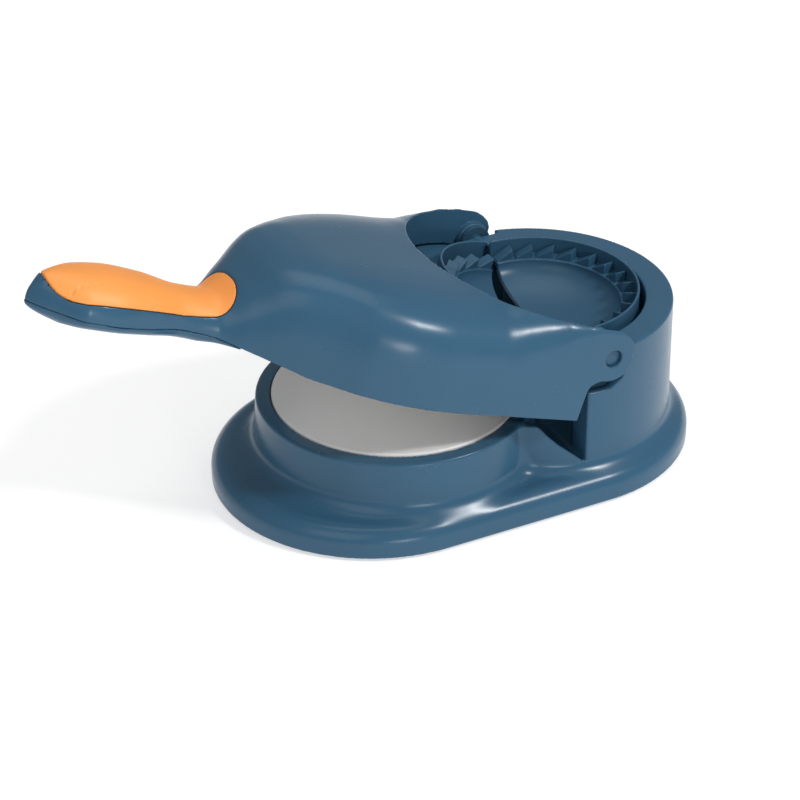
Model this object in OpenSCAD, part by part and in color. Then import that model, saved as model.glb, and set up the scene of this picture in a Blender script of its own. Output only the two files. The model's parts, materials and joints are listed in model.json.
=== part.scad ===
// Two-in-one dough press with a folding mould.
// Origin: centre of the oval foot, on the table. +X towards the drum, +Z up.
// The lid is drawn in its closed place and then lifted by lid_open about the hinge.

/* [Foot] */
// Length of the oval foot
foot_len = 200; // [198:1:204]
// Width of the oval foot
foot_w = 127.3; // [127:0.1:131]
// Height of the foot's shoulder
foot_h = 13.6; // [13:0.1:14.5]

/* [Platform and lower disc] */
// Centre of the platform along X
plat_x = -25.8; // [-26.4:0.1:-25.4]
// Outer radius of the platform
plat_r = 55.1; // [54.6:0.1:55.2]
// Height of the platform's ring
plat_z = 34.5; // [34:0.1:34.8]
// Radius of the lower press disc
disc_r = 48.85; // [46:0.05:49]
// Height of the lower press disc's face
disc_z = 35.2; // [34.8:0.1:35.4]

/* [Drum] */
// Centre of the drum along X
drum_x = 36.2; // [36:0.1:36.4]
// Outer radius of the drum at its rim
drum_r = 55.3; // [55:0.1:55.4]
// Inner radius of the drum's well
well_r = 44.2; // [44.2:0.1:44.4]
// Height of the drum
drum_z = 63; // [62.6:0.1:63.2]
// Where the drum's front cut runs along X
cut_x = 28.9; // [28.4:0.1:29.2]

/* [Hinge] */
// Hinge axis along X
hinge_x = 38.2; // [38.1:0.05:38.3]
// Hinge axis height
hinge_z = 60.8; // [60.6:0.1:61]
// Radius of the pins' bearing part
pin_r = 3.5; // [3.3:0.1:3.7]
// Running clearance on the pins, on the radius
pin_gap = 0.07; // [0.05:0.01:0.1]
// Angle the lid stands open at
lid_open = 19; // [5:1:40]

/* [Mould] */
// Outer radius of the crimp teeth
teeth_r = 38.8; // [38:0.1:38.9]
// Radius of the filling bowls
bowl_r = 33; // [30:0.5:33.5]
// Depth of the filling bowls
bowl_d = 12; // [10:0.5:13]
// Teeth on each mould half
teeth_n = 13; // [12:1:18]
// Height of the teeth
teeth_h = 5; // [4:0.25:5]

/* [Lid] */
// Wall of the lid at its sides
lid_wall = 1.5; // [1.4:0.05:1.6]
// Radius of the mouth over the moulds
mouth_r = 55.75; // [55.7:0.05:55.8]
// Dough gap left when the lid is closed
dough_gap = 1; // [0.8:0.1:1.4]
// Radius of the upper press plate
plate_r = 48; // [44:0.5:48.5]

/* [Hidden] */
$fn = 96;

blue = [0.27, 0.41, 0.52];
orange = [0.96, 0.62, 0.29];
cream = [0.93, 0.92, 0.89];
steel = [0.7, 0.71, 0.73];
grey = [0.25, 0.26, 0.28];

foot_r = foot_w / 2;
foot_c = foot_len / 2 - foot_r;      // centres of the foot's round ends
floor_z = 16;                        // floor of the drum
seat_z = disc_z - 4.2;               // seat of the lower disc
post_z = 66;                         // top of the carrier's posts
plate_z = disc_z + dough_gap;        // underside of the upper plate, closed

// ---- helpers -------------------------------------------------------------

// Smooth curve through [x, value] stations, with no overshoot between them.
function seg(t, x, i = 0) = (i >= len(t) - 2 || x < t[i + 1][0]) ? i : seg(t, x, i + 1);
function slope(t, i) = (t[i + 1][1] - t[i][1]) / (t[i + 1][0] - t[i][0]);
function tang(t, i) =
    i == 0 ? slope(t, 0) : i == len(t) - 1 ? slope(t, i - 1) :
    slope(t, i - 1) * slope(t, i) <= 0 ? 0 :
    let (a = t[i][0] - t[i - 1][0], b = t[i + 1][0] - t[i][0], p = 2 * b + a, q = b + 2 * a)
    (p + q) / (p / slope(t, i - 1) + q / slope(t, i));
function at(t, x) =
    let (i = seg(t, x), h = t[i + 1][0] - t[i][0], s = (x - t[i][0]) / h,
         a = tang(t, i) * h, b = tang(t, i + 1) * h, s2 = s * s, s3 = s2 * s)
    (2 * s3 - 3 * s2 + 1) * t[i][1] + (s3 - 2 * s2 + s) * a
    + (3 * s2 - 2 * s3) * t[i + 1][1] + (s3 - s2) * b;
function ramp(a, b, x) = let (s = max(0, min(1, (x - a) / (b - a)))) s * s * (3 - 2 * s);

// Solid through rings of equal point count; each ring lies in a plane of constant X.
module loft(rings) {
    n = len(rings); m = len(rings[0]);
    polyhedron(
        points = [for (r = rings) for (p = r) p],
        faces = concat(
            [for (i = [0 : n - 2]) for (j = [0 : m - 1])
                [i * m + j, (i + 1) * m + (j + 1) % m, (i + 1) * m + j]],
            [for (i = [0 : n - 2]) for (j = [0 : m - 1])
                [i * m + j, i * m + (j + 1) % m, (i + 1) * m + (j + 1) % m]],
            [[for (j = [0 : m - 1]) m - 1 - j]],
            [[for (j = [0 : m - 1]) (n - 1) * m + j]]),
        convexity = 8);
}

module lifted() { translate([hinge_x, 0, hinge_z]) rotate([0, lid_open, 0]) translate([-hinge_x, 0, -hinge_z]) children(); }
module both_sides() { children(); mirror([0, 1, 0]) children(); }
module along_y(y0, y1) { translate([0, y1, 0]) rotate([90, 0, 0]) linear_extrude(y1 - y0) children(); }
module y_cyl(x, z, r, y0, y1) { translate([x, y1, z]) rotate([90, 0, 0]) cylinder(r = r, h = y1 - y0); }
module oval(r, c, z0, z1) {
    for (s = [-1, 1]) translate([s * c, 0, z0]) cylinder(r = r, h = z1 - z0);
    translate([-c, -r, z0]) cube([2 * c, 2 * r, z1 - z0]);
}
// Oval body from a half profile of [r, z] points that starts and ends on r = 0.
module oval_profile(pts, c) {
    for (s = [-1, 1]) translate([s * c, 0, 0]) rotate_extrude() polygon(pts);
    translate([-c, 0, 0]) rotate([90, 0, 90]) linear_extrude(2 * c) { polygon(pts); mirror([1, 0]) polygon(pts); }
}
// Pan-head screw: z is the underside of the head, pointing up.
module screw(r, head_r, head_h, len) {
    translate([0, 0, -head_h]) difference() {
        cylinder(r = head_r, h = head_h);
        translate([0, 0, -1]) cylinder(r = head_r * 0.45, h = 1 + head_h * 0.55, $fn = 6);
    }
    translate([0, 0, -0.01]) cylinder(r = r, h = len + 0.01);
}

// ---- base ----------------------------------------------------------------

cover_pts = [[-84, 0], [84, 0], [-40, 50], [-40, -50], [40, 50], [40, -50]];
disc_pts = [for (a = [30, 150, 270]) [plat_x + 30 * cos(a), 30 * sin(a)]];
support_pts = [for (a = [-35, 35]) [hinge_x + 40.5 * cos(a), 40.5 * sin(a)]];

module foot_solid() {
    arc = [for (a = [0 : 10 : 80]) [foot_r - 8 + 8 * cos(a), 5.6 + 7.2 * sin(a)]];
    oval_profile(concat([[0, 0.8], [foot_r - 0.9, 0.8], [foot_r - 0.15, 2.2]], arc,
        [[50, foot_h], [30, foot_h + 0.9], [0, foot_h + 0.9]]), foot_c);
}
module drum_solid() {
    fillet = [for (a = [0 : 15 : 75]) [drum_r + 5.2 - 4.6 * cos(a), 17 - 5 * sin(a)]];
    translate([drum_x, 0, 0]) rotate_extrude()
        polygon(concat([[0, 10], [drum_r + 4.2, 10]], [for (i = [len(fillet) - 1 : -1 : 0]) fillet[i]],
            [[drum_r + 0.3, 34], [drum_r, drum_z - 0.9], [drum_r - 0.3, drum_z - 0.25], [drum_r - 0.9, drum_z], [0, drum_z]]));
}
module platform_solid() {
    fillet = [for (a = [0 : 15 : 75]) [plat_r + 7.2 - 6.4 * cos(a), 19 - 6.6 * sin(a)]];
    translate([plat_x, 0, 0]) rotate_extrude()
        polygon(concat([[0, 10], [plat_r + 5.4, 10]], [for (i = [len(fillet) - 1 : -1 : 0]) fillet[i]],
            [[plat_r, plat_z - 1.2], [plat_r - 0.35, plat_z - 0.35], [plat_r - 1.2, plat_z], [0, plat_z]]));
}
// Everything of the drum that stands: its wall, cut away in front for the lid and the swinging mould half.
module drum_body() {
    difference() {
        union() {
            intersection() {          // full drum behind the front cut
                drum_solid();
                translate([cut_x, -80, 5]) cube([100, 160, 80]);
            }
            intersection() {          // low wall in front, falling from the platform to the cut
                drum_solid();
                along_y(-80, 80) polygon([[0, 5], [0, plat_z - 0.6], [10.4, plat_z - 0.6],
                    [12, 32.4], [14.4, 29], [18.6, 24.6], [24.1, 20], [cut_x + 0.05, 15.6], [cut_x + 0.05, 5]]);
            }
        }
        // well
        translate([drum_x, 0, floor_z]) cylinder(r = well_r, h = 80);
        // in front of the cut only the outer wall stands
        intersection() {
            translate([drum_x, 0, floor_z]) cylinder(r = drum_r - 2.1, h = 80);
            translate([-60, -80, floor_z]) cube([60 + cut_x, 160, 80]);
        }
        // hollow between the outer and inner walls, behind the arms
        intersection() {
            translate([drum_x, 0, 5]) rotate_extrude() polygon([[well_r + 2.4, -5], [drum_r - 2.2, -5], [drum_r - 2.4, 55], [well_r + 2.4, 55]]);
            translate([51, -80, 0]) cube([60, 160, 90]);
        }
        // recesses for the arms' eyes, and the ledges below them
        both_sides() {
            y_cyl(hinge_x, hinge_z, 10.3, 51, 70);
            along_y(51, 70) polygon([[20, 47], [hinge_x, 46.4], [44, 49.5], [46.5, 54], [46.5, 70], [20, 70]]);
        }
    }
    // ears for the hinge pins
    both_sides() difference() {
        union() {
            y_cyl(hinge_x, hinge_z, 3.1, 44.5, 51);
            translate([hinge_x - 3.1, 44.5, 56]) cube([6.2, 6.5, 4.8]);
        }
        translate([drum_x, 0, floor_z]) cylinder(r = well_r, h = 80);
    }
}
module base_housing() color(blue) difference() {
    union() {
        difference() {
            union() {
                foot_solid();
                intersection() {
                    union() {
                        drum_body();
                        platform_solid();
                    }
                    oval(foot_r - 0.4, foot_c, 9, 90);
                }
            }
            // seat of the lower disc
            translate([plat_x, 0, seat_z]) cylinder(r = disc_r + 0.35, h = 20);
            // underside: the foot, the room below the platform, the room below the drum's floor
            oval(foot_r - 2.6, foot_c, -5, foot_h - 4.6);
            translate([plat_x, 0, -5]) cylinder(r = plat_r - 2.3, h = seat_z - 2.4 + 5);
            difference() {
                translate([drum_x, 0, -5]) cylinder(r = drum_r - 2.2, h = floor_z - 2.5 + 5);
                translate([plat_x, 0, -6]) cylinder(r = plat_r - 0.1, h = 60);
            }
        }
        // screw bosses
        for (p = cover_pts) translate([p[0], p[1], 3.2]) cylinder(r = 3.6, h = p[0] > 0 ? 13 : 8.8);
    }
    for (p = cover_pts) translate([p[0], p[1], 2]) cylinder(r = 1.3, h = 8);
    for (p = disc_pts) translate([p[0], p[1], 10]) cylinder(r = 1.8, h = 30);
    for (p = support_pts) translate([p[0], p[1], 5]) cylinder(r = 1.8, h = 14);
    both_sides() y_cyl(hinge_x, hinge_z, 1.55, 40, 52);
}

module base_bottom_cover() color(blue) difference() {
    oval(foot_r - 3, foot_c, 1, 3);
    oval(36.2, foot_c, -1, 1.9);
    for (p = cover_pts) translate([p[0], p[1], -1]) {
        cylinder(r = 1.7, h = 10);
        cylinder(r = 3.2, h = 2.7);
    }
}
module cover_screws() color(steel) for (p = cover_pts) translate([p[0], p[1], 1.7]) screw(1.25, 2.9, 1.1, 7);
module non_slip_pad() color(grey) difference() {
    oval(36, foot_c, 0, 1.9);
    for (i = [-5 : 5]) translate([i * 11 - 0.6, -28, -0.2]) cube([1.2, 56 - abs(i) * 1.2, 0.6]);
}
module lower_press_disc() color(cream) translate([plat_x, 0, 0]) difference() {
    rotate_extrude() polygon([[0, seat_z + 0.05], [disc_r - 0.4, seat_z + 0.05], [disc_r, seat_z + 0.5], [disc_r, disc_z - 0.9],
        [disc_r - 0.27, disc_z - 0.27], [disc_r - 0.9, disc_z], [0, disc_z]]);
    for (p = disc_pts) translate([p[0] - plat_x, p[1], seat_z - 1]) cylinder(r = 1.45, h = 4);
}
module disc_screws() color(steel) for (p = disc_pts) translate([p[0], p[1], seat_z - 2.5]) screw(1.4, 3, 1.8, 5);

module mould_support() color(blue) difference() {
    translate([hinge_x, 0, 0]) rotate_extrude() polygon([[35.6, floor_z + 0.1], [41, floor_z + 0.1], [41, 50], [40.3, 56.6], [38.5, 56.6], [38.5, 19], [35.6, 19]]);
    translate([-60, -80, 0]) cube([60 + hinge_x + 7, 160, 90]);
    for (p = support_pts) translate([p[0], p[1], 0]) cylinder(r = 1.45, h = 26);
}
module support_screws() color(steel) for (p = support_pts) translate([p[0], p[1], floor_z - 2.55]) screw(1.4, 2.9, 1.6, 11);

// ---- mould halves --------------------------------------------------------
// side 1: fixed half, in the drum. side -1: swinging half, in the lid (drawn closed).
// Folded over, the swinging half's teeth lie between the fixed half's, the fixed half's
// rim stands in the swinging half's channel, and the swinging half's lip goes round both.
rim_x = hinge_x - 0.5;               // centre of the fixed half's rim
lip_x = 2 * hinge_x - drum_x;        // centre of the lip, so that folded over it shares the well's centre
module teeth_ring(side, top) {
    pitch = 180 / teeth_n;
    for (i = [0 : teeth_n - 1]) {
        a = 90 - (i + 0.5) * pitch;               // middle of the tooth, from +X
        ri = bowl_r + 0.8; ro = teeth_r; t = tan(pitch * 0.41); w = ro * t;
        rotate([0, 0, side > 0 ? a : 180 - a]) intersection() {
            translate([ri - 1, 0, top - 0.5]) rotate([90, 0, 90]) linear_extrude(ro - ri + 2)
                polygon([[-w - 0.1, 0], [w + 0.1, 0], [w + 0.1, 0.7], [-w - 0.1, teeth_h + 0.5]]);
            translate([0, 0, top - 2]) linear_extrude(teeth_h + 4) polygon([[ri, -ri * t], [ro, -ro * t], [ro, ro * t], [ri, ri * t]]);
        }
    }
}
module bowl(top, skirt) {
    inner = [for (a = [0 : 10 : 90]) [bowl_r * sin(a), top - bowl_d * cos(a)]];
    outer = [for (a = [90 : -10 : 0]) [(bowl_r + 1.8) * sin(a), top - 1.8 - bowl_d * cos(a)]];
    rotate_extrude() polygon(concat(inner, [[teeth_r, top], [teeth_r, top - 2.4]],
        skirt ? [[38.3, top - 2.4], [38.3, top - 6], [36.9, top - 6], [36.9, top - 2.4]] : [[36.9, top - 2.4]], outer));
}
module mould_half(side) {
    top = side > 0 ? -1.7 : -4.5;                 // level of the crimp band, from the hinge axis
    translate([hinge_x, 0, hinge_z]) difference() {
        union() {
            bowl(top, side > 0);
            teeth_ring(side, top);
            if (side > 0) translate([rim_x - hinge_x, 0, 0]) {
                difference() {
                    translate([0, 0, top - 2.4]) cylinder(r = 40.6, h = 5.2 - top + 2.4);
                    translate([0, 0, top - 3]) cylinder(r = 39.65, h = 20);
                }
                difference() {
                    translate([0, 0, top - 2.4]) cylinder(r = 40, h = 2.4);
                    translate([hinge_x - rim_x, 0, top - 3]) cylinder(r = 38.3, h = 5);
                }
            } else {
                translate([lip_x - hinge_x, 0, 0]) difference() {
                    translate([0, 0, -8]) cylinder(r = 43.7, h = 11.8);
                    translate([0, 0, -9]) cylinder(r = 42.6, h = 14);
                }
                difference() {
                    translate([lip_x - hinge_x, 0, -8]) cylinder(r = 43.2, h = 2);
                    translate([0, 0, -9]) cylinder(r = 38.2, h = 4);
                }
            }
        }
        // keep to its own side of the fold
        translate([side > 0 ? -99.65 : -0.35, -60, -40]) cube([100, 120, 80]);
    }
}
module right_mould_half() color(blue) mould_half(1);
module left_mould_half() color(blue) lifted() difference() {
    union() {
        mould_half(-1);
        for (p = left_pts) translate([p[0], p[1], 51.3]) cylinder(r = 2.5, h = 4);
    }
    for (p = left_pts) translate([p[0], p[1], 50.8]) cylinder(r = 1.05, h = 4.5);
}
module mould_screws() color(steel) lifted() for (p = left_pts) translate([p[0], p[1], 49.55]) screw(1, 2.2, 1.2, 5.6);

// ---- hinge ---------------------------------------------------------------
module hinge_pin() color(blue) {
    y_cyl(hinge_x, hinge_z, 1.5, 44.9, 51.2);
    y_cyl(hinge_x, hinge_z, pin_r, 51.15, 56);
}
module hinge_pin_near() mirror([0, 1, 0]) hinge_pin();
module hinge_pin_far() hinge_pin();
module friction_washers() color(grey) both_sides() difference() {
    y_cyl(hinge_x, hinge_z, 6.6, 51.1, 53.2);
    y_cyl(hinge_x, hinge_z, pin_r + 0.1, 50, 54);
}

// ---- lid, drawn closed ---------------------------------------------------
// Stations along X: half-width, crest, rim, and how square the section is.
half_w = [[-178.7, 0.9], [-176, 4], [-170, 9.5], [-160, 16.6], [-148, 17.9], [-135, 16.1], [-120, 12.6], [-108, 14.6],
    [-98, 21.4], [-90, 27.3], [-82, 33], [-72, 39.8], [-60, 48.2], [-45, 54.3], [-30, 57], [-10, 57.6], [60, 57.6]];
crest = [[-178.7, 44.8], [-174, 52], [-165, 54.2], [-150, 55.2], [-135, 53.9], [-120, 50.9], [-108, 50], [-98, 58.8],
    [-90, 66.4], [-82, 70.4], [-72, 72.1], [-60, 72.5], [-45, 72.8], [-30, 73], [-20, 73.1], [-10, 73.7], [0, 75.2], [8, 76.1], [14, 76.1], [19, 74.9], [24, 74.1], [31, 73.3], [60, 73.3]];
rim = [[-178.7, 40.8], [-165, 40.8], [-145, 40.3], [-125, 39.3], [-108, 37.9], [-95, 36.3], [-85, 35], [-75, 33.7], [60, 33.7]];
square_p = [[-178.7, 2.2], [-110, 2.2], [-95, 3.2], [-85, 4.2], [-40, 4.2], [-10, 4.1], [0, 4.7], [6, 5.3], [14, 7.2], [19, 11], [24, 16], [31, 30], [60, 30]];
grip_w = [[-175.4, 0.6], [-173, 4.5], [-170, 7.5], [-166, 11.5], [-162, 14.2], [-157, 15.7], [-150, 16], [-143, 15.7],
    [-136, 14.9], [-128, 13], [-120, 11.6], [-113, 11.5], [-107, 12.4], [-103.5, 12.5], [-101.6, 10.6], [-100.4, 7], [-99.9, 2]];

function lid_top(x, y) = let (w = at(half_w, x), b = at(rim, x), p = at(square_p, x))
    b + (at(crest, x) - b) * pow(max(0, 1 - pow(min(1, abs(y) / w), p)), 1 / p);
function lid_ring(x, m) = let (w = at(half_w, x), b = at(rim, x), h = at(crest, x) - b, p = at(square_p, x))
    [for (j = [0 : m]) let (a = -90 + 180 * j / m)
        [x, w * sign(a) * pow(abs(sin(a)), 2 / p), b + h * pow(max(0, cos(a)), 2 / p)]];
function hollow_ring(x, m) = let (w = at(half_w, x) - lid_wall - 0.7 * (1 - ramp(-104, -88, x)),
        b = at(rim, x) + 2, t = at(crest, x) - 2.3 - 2.3 * (1 - ramp(-98, -88, x)), p = at(square_p, x) + 0.1)
    concat([[x, -w, b - 12]],
        [for (j = [0 : m]) let (a = -90 + 180 * j / m)
            [x, w * sign(a) * pow(abs(sin(a)), 2 / p), b + (t - b) * pow(max(0, cos(a)), 2 / p)]],
        [[x, w, b - 12]]);
outer_x = [-178.7, -178, -176.5, -174, -170, -165, -160, -153, -146, -139, -132, -126, -120, -114, -109, -105, -101, -97,
    -93, -89, -85, -80, -75, -69, -63, -56, -48, -39, -30, -18, -6, 4, 12, 19, 25, 31, 52];
inner_x = [-172, -166, -158, -150, -140, -130, -120, -111, -104, -99, -95, -91, -86, -81, -75, -68, -60, -50, -40, -28, -14, 0, 12, 19, 25, 31, 60];

post_pts = [[-60, 20], [-60, -20], [-24, 30], [-24, -30]];
plate_pts = [for (a = [0, 120, 240]) [plat_x - 4 + 30 * cos(a), 30 * sin(a)]];
handle_pts = [[-158, 0], [-136, 0], [-112, 0]];
mouth_x = 35.1;
scoop_pts = [[-26.5, -16], [-26.5, 0], [-26.5, 16]];
left_pts = [for (s = [-1, 1]) [hinge_x - 36.2 * cos(38), s * 36.2 * sin(38)]];
tray_z = 55.4;                       // underside of the scoop's floor

module arm_side() {                   // side view of the arms and of the notch below them
    translate([37.7, 60.5]) circle(r = 9.3);
    polygon([[0, 20], [31.2, 20], [31.2, 46.4], [32, 48.6], [33.8, 50], [36.4, 51.3], [44.3, 54.2], [46.2, 66],
        [44.6, 68.6], [41.6, 70.6], [38, 72], [33, 73.2], [20, 85], [0, 85]]);
}
module grip_body(grow, up, down) {
    xs = [-175.4, -174.4, -173, -170, -166, -162, -157, -150, -143, -136, -128, -120, -113, -107, -103.5, -101.6, -100.4, -99.9];
    loft([for (x = xs) let (g = at(grip_w, x) + grow, xx = x < -175 ? x - grow : x > -100 ? x + grow : x)
        concat([for (j = [-5 : 5]) [xx, g * j / 5, lid_top(xx, g * j / 5) + up]],
               [for (j = [5 : -1 : -5]) [xx, g * j / 5, lid_top(xx, g * j / 5) - down]])]);
}
module lid_shell() color(blue) lifted() difference() {
    union() {
        difference() {
            loft([for (x = outer_x) lid_ring(x, 26)]);
            difference() {
                loft([for (x = inner_x) hollow_ring(x, 20)]);
                intersection() {          // flange that hangs from the mouth's edge
                    translate([mouth_x, 0, 57.2]) cylinder(r = mouth_r + 1.5, h = 40);
                    translate([-60, -60, 50]) cube([91, 120, 60]);
                }
            }
            translate([mouth_x, 0, 50]) cylinder(r = mouth_r, h = 60);
            translate([31, -56, 0]) cube([60, 112, 120]);
            along_y(-80, 80) difference() { translate([20, 10]) square([60, 90]); arm_side(); }
            grip_body(0.15, 4, 2.2);
        }
        both_sides() y_cyl(hinge_x, hinge_z, 7, 53.4, 56.6);
        for (p = post_pts) translate([p[0], p[1], post_z + 0.2]) cylinder(r = 4, h = lid_top(p[0], p[1]) - 1 - post_z - 0.2);
        for (p = scoop_pts) translate([p[0], p[1], 57.1]) cylinder(r = 3.2, h = lid_top(p[0], p[1]) - 1 - 57.1);
        for (p = handle_pts) translate([p[0], p[1], at(rim, p[0]) + 0.3]) cylinder(r = 3.2, h = at(crest, p[0]) - 3.4 - at(rim, p[0]) - 0.3);
    }
    both_sides() y_cyl(hinge_x, hinge_z, pin_r + pin_gap, 50, 62);
    for (p = post_pts) translate([p[0], p[1], post_z - 1]) cylinder(r = 1.6, h = 5);
    for (p = scoop_pts) translate([p[0], p[1], 56]) cylinder(r = 1.05, h = 8);
    for (p = handle_pts) translate([p[0], p[1], at(rim, p[0]) - 2]) cylinder(r = 1.3, h = 8);
}
module handle_grip() color(orange) lifted() grip_body(0, 0, 2);
module handle_bottom_cover() color(blue) lifted() difference() {
    loft([for (x = [-178.5, -177.5, -175, -171, -166, -160, -153, -146, -138, -130, -122, -114, -108, -104, -101, -99])
        let (w = at(half_w, x), b = at(rim, x) - 0.08, d = 6 * sqrt(max(0.02, min(1, (x + 179) / 12))) * sqrt(max(0.03, min(1, (-98 - x) / 14))))
        [for (j = [0 : 16]) let (a = 90 - 180 * j / 16) [x, w * sin(a), b - d * cos(a)]]]);
    for (p = handle_pts) translate([p[0], p[1], 20]) {
        cylinder(r = 1.6, h = 40);
        cylinder(r = 2.9, h = at(rim, p[0]) - 3 - 20);
    }
}
module handle_screws() color(steel) lifted() for (p = handle_pts) translate([p[0], p[1], at(rim, p[0]) - 3.1]) screw(1.2, 2.6, 1.5, 8);

module press_plate_carrier() color(cream) lifted() difference() {
    union() {
        translate([plat_x - 4, 0, plate_z + 3.2]) cylinder(r = 42, h = 2);
        for (p = post_pts) translate([p[0], p[1], plate_z + 3.2]) cylinder(r = 4.4, h = post_z - plate_z - 3.2);
        for (y = [-20, 20]) translate([-66, y - 1, plate_z + 4]) cube([72, 2, 8]);
        for (x = [-60, -24]) translate([x - 1, -32, plate_z + 4]) cube([2, 64, 8]);
    }
    for (p = post_pts) translate([p[0], p[1], plate_z]) {
        cylinder(r = 1.8, h = 60);
        cylinder(r = 3.2, h = 24);
    }
    for (p = plate_pts) translate([p[0], p[1], plate_z]) cylinder(r = 1.7, h = 30);
}
module carrier_screws() color(steel) lifted() for (p = post_pts) translate([p[0], p[1], plate_z + 24 - 0.1]) screw(1.5, 2.9, 1.8, post_z + 3.6 - plate_z - 24);
module upper_press_plate() color(cream) lifted() translate([plat_x, 0, 0]) difference() {
    rotate_extrude() polygon([[0, plate_z], [plate_r - 0.8, plate_z], [plate_r, plate_z + 0.8], [plate_r, plate_z + 2.4], [plate_r - 0.6, plate_z + 3], [0, plate_z + 3]]);
    for (p = plate_pts) translate([p[0] - plat_x, p[1], plate_z + 1]) cylinder(r = 1.3, h = 10);
}
module plate_screws() color(steel) lifted() for (p = plate_pts) translate([p[0], p[1], plate_z + 5.3]) mirror([0, 0, 1]) screw(1.25, 2.8, 1.6, 4);

// Tray between the lid's mouth and the swinging mould half: its trough passes over the drum's rim when the lid is folded right over.
module mould_scoop() color(blue) lifted() difference() {
    union() {
        translate([mouth_x, 0, tray_z]) cylinder(r = mouth_r - 0.35, h = 1.6);
        translate([lip_x, 0, 49.6]) cylinder(r = 45.4, h = tray_z + 1.6 - 49.6);
        for (p = scoop_pts) {
            translate([p[0], p[1], tray_z]) cylinder(r = 4, h = 1.6);
            translate([p[0], p[1] - 4, tray_z]) cube([10, 8, 1.6]);
        }
    }
    difference() {
        translate([lip_x, 0, 45]) cylinder(r = 44, h = 20);
        // tabs below the swinging half
        for (p = left_pts) intersection() {
            translate([p[0], p[1], 49.6]) union() {
                cylinder(r = 3.4, h = 1.6);
                rotate([0, 0, atan2(p[1], p[0] - hinge_x)]) translate([0, -3.4, 0]) cube([12, 6.8, 1.6]);
            }
            translate([lip_x, 0, 49]) difference() { cylinder(r = 44.6, h = 4); translate([hinge_x - lip_x, 0, -1]) cylinder(r = bowl_r + 0.6, h = 6); }
        }
    }
    translate([27, -80, 0]) cube([80, 160, 120]);
    for (p = scoop_pts) translate([p[0], p[1], 50]) cylinder(r = 1.3, h = 12);
    for (p = left_pts) translate([p[0], p[1], 45]) cylinder(r = 1.3, h = 12);
}
module scoop_screws() color(steel) lifted() for (p = scoop_pts) translate([p[0], p[1], tray_z - 0.05]) screw(1, 2.1, 1.2, 7);

base_housing();
base_bottom_cover();
cover_screws();
non_slip_pad();
lower_press_disc();
disc_screws();
mould_support();
support_screws();
right_mould_half();
hinge_pin_near();
hinge_pin_far();
friction_washers();
lid_shell();
handle_grip();
handle_bottom_cover();
handle_screws();
press_plate_carrier();
carrier_screws();
upper_press_plate();
plate_screws();
mould_scoop();
scoop_screws();
left_mould_half();
mould_screws();
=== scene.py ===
import json
import math
import bpy
import numpy as np
from mathutils import Vector, Matrix


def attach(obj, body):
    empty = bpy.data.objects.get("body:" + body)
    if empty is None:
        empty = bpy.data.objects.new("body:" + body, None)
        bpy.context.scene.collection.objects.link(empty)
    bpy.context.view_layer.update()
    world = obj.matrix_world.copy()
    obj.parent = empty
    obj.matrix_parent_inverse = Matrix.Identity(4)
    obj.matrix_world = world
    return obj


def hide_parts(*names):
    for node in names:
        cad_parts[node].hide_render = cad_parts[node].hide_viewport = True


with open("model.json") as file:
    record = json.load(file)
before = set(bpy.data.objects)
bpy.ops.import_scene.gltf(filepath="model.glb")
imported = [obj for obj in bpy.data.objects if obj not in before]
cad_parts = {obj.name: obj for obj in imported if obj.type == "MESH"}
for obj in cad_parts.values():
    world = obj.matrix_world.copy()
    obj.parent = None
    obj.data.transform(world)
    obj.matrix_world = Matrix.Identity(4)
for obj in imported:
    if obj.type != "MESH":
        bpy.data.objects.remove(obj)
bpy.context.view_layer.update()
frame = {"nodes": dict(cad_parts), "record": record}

# All shapes are computed in millimetres in the part's own frame, and made in metres.
FC = 36.32                 # centres of the foot's round ends
PX, DX = -25.8, 36.2       # platform and drum centres
HX, HZ = 38.2, 60.8        # hinge axis
MX, MR = 35.1, 55.75       # mouth of the lid, drawn closed
LX, RX = 40.2, 37.7        # centres of the swinging half's lip and of the fixed half's rim
PIN = 3.5
OPEN = math.radians(19)


# ------------------------------------------------------------------ distance fields
def r_union(a, b, r):
    return np.maximum(r, np.minimum(a, b)) - np.hypot(np.maximum(r - a, 0), np.maximum(r - b, 0))


def r_inter(a, b, r):
    return np.minimum(-r, np.maximum(a, b)) + np.hypot(np.maximum(r + a, 0), np.maximum(r + b, 0))


def r_cut(a, b, r):
    return r_inter(a, -b, r)


def ramp(a, b, x):
    s = np.clip((x - a) / (b - a), 0, 1)
    return s * s * (3 - 2 * s)


def box3(x, y, z, cx, cy, cz, hx, hy, hz, r=0.0):
    qx, qy, qz = np.abs(x - cx) - hx + r, np.abs(y - cy) - hy + r, np.abs(z - cz) - hz + r
    out = np.sqrt(np.maximum(qx, 0) ** 2 + np.maximum(qy, 0) ** 2 + np.maximum(qz, 0) ** 2)
    return out + np.minimum(np.maximum(qx, np.maximum(qy, qz)), 0) - r


def poly2(px, py, pts):
    """Signed distance to a closed polygon."""
    d = np.full(px.shape, 1e9)
    s = np.ones(px.shape)
    n = len(pts)
    for i in range(n):
        ax, ay = pts[i]
        bx, by = pts[i - 1]
        ex, ey = bx - ax, by - ay
        wx, wy = px - ax, py - ay
        t = np.clip((wx * ex + wy * ey) / (ex * ex + ey * ey), 0, 1)
        d = np.minimum(d, (wx - ex * t) ** 2 + (wy - ey * t) ** 2)
        c1, c2, c3 = py >= ay, py < by, ex * wy > ey * wx
        flip = (c1 & c2 & c3) | (~c1 & ~c2 & ~c3)
        s = np.where(flip, -s, s)
    return s * np.sqrt(d)


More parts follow.
